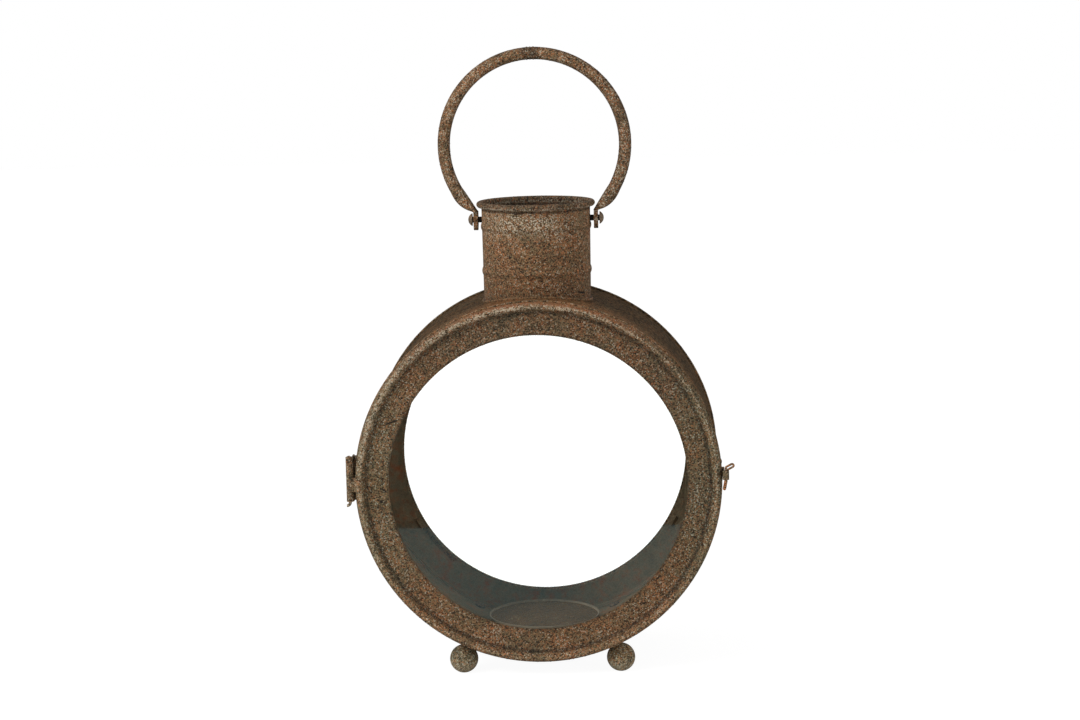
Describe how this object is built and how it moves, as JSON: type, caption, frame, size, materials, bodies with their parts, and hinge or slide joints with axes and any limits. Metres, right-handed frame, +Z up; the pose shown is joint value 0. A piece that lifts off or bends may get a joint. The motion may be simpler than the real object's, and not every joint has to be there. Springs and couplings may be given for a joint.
{
  "type": "round hand lantern",
  "caption": "Round drum hand lantern in rusted sheet metal with a glazed hinged door, a short chimney, a swinging tube handle, a turning wire latch and ball feet.",
  "frame": {"origin": "on the ground in the middle between the four feet, under the axis of the drum", "axes": "+Z up; +X to the right as seen from in front of the door; +Y to the back, so the door faces -Y"},
  "size_m": [0.3076, 0.1541, 0.4984],
  "materials": {
    "rusted_drum": "matt brown rust, grey-brown and mottled",
    "rusted_door": "matt brown rust with pale flecks and worn edges",
    "rusted_chimney": "matt brown rust",
    "rusted_handle": "brown rust, worn satin",
    "rusted_foot": "matt brown rust",
    "rusted_hinge": "matt brown rust",
    "rusted_wire": "reddish rust",
    "dark_steel": "blackened steel",
    "sooty_sheet": "dark brown rust",
    "clear_glass": "clear, smooth"
  },
  "bodies": {
    "lantern": {"drum_band": "rusted_drum", "chimney": "rusted_chimney", "rear_ring": "rusted_drum", "candle_plate": "sooty_sheet", "plate_stand": "sooty_sheet", "stand_rivets": "dark_steel", "rear_glass": "clear_glass", "rear_glass_tabs": "sooty_sheet", "front_left_foot": "rusted_foot", "front_right_foot": "rusted_foot", "rear_left_foot": "rusted_foot", "rear_right_foot": "rusted_foot", "foot_screws": "dark_steel", "hinge_leaf": "rusted_hinge", "hinge_pin": "rusted_hinge", "hinge_rivets": "rusted_hinge", "latch_bracket": "rusted_hinge", "latch_rivets": "rusted_hinge", "left_handle_pin": "dark_steel", "right_handle_pin": "dark_steel"},
    "door": {"door_ring": "rusted_door", "door_glass": "clear_glass", "door_glass_tabs": "sooty_sheet", "hinge_strap": "rusted_hinge"},
    "latch": {"latch_loop": "rusted_wire"},
    "bail": {"handle": "rusted_handle"}
  },
  "joints": [
    {"name": "door_swing", "type": "hinge", "parent": "lantern", "child": "door", "pos_m": [-0.1496, -0.0708, 0.15664], "axis": [0, 0, -1], "range_deg": [0, 150]},
    {"name": "latch_turn", "type": "hinge", "parent": "lantern", "child": "latch", "pos_m": [0.1484, -0.07645, 0.15664], "axis": [0, 0, -1], "range_deg": [0, 180]},
    {"name": "handle_swing", "type": "hinge", "parent": "lantern", "child": "bail", "pos_m": [0, 0, 0.36064], "axis": [1, 0, 0], "range_deg": [-118, 118]}
  ]
}
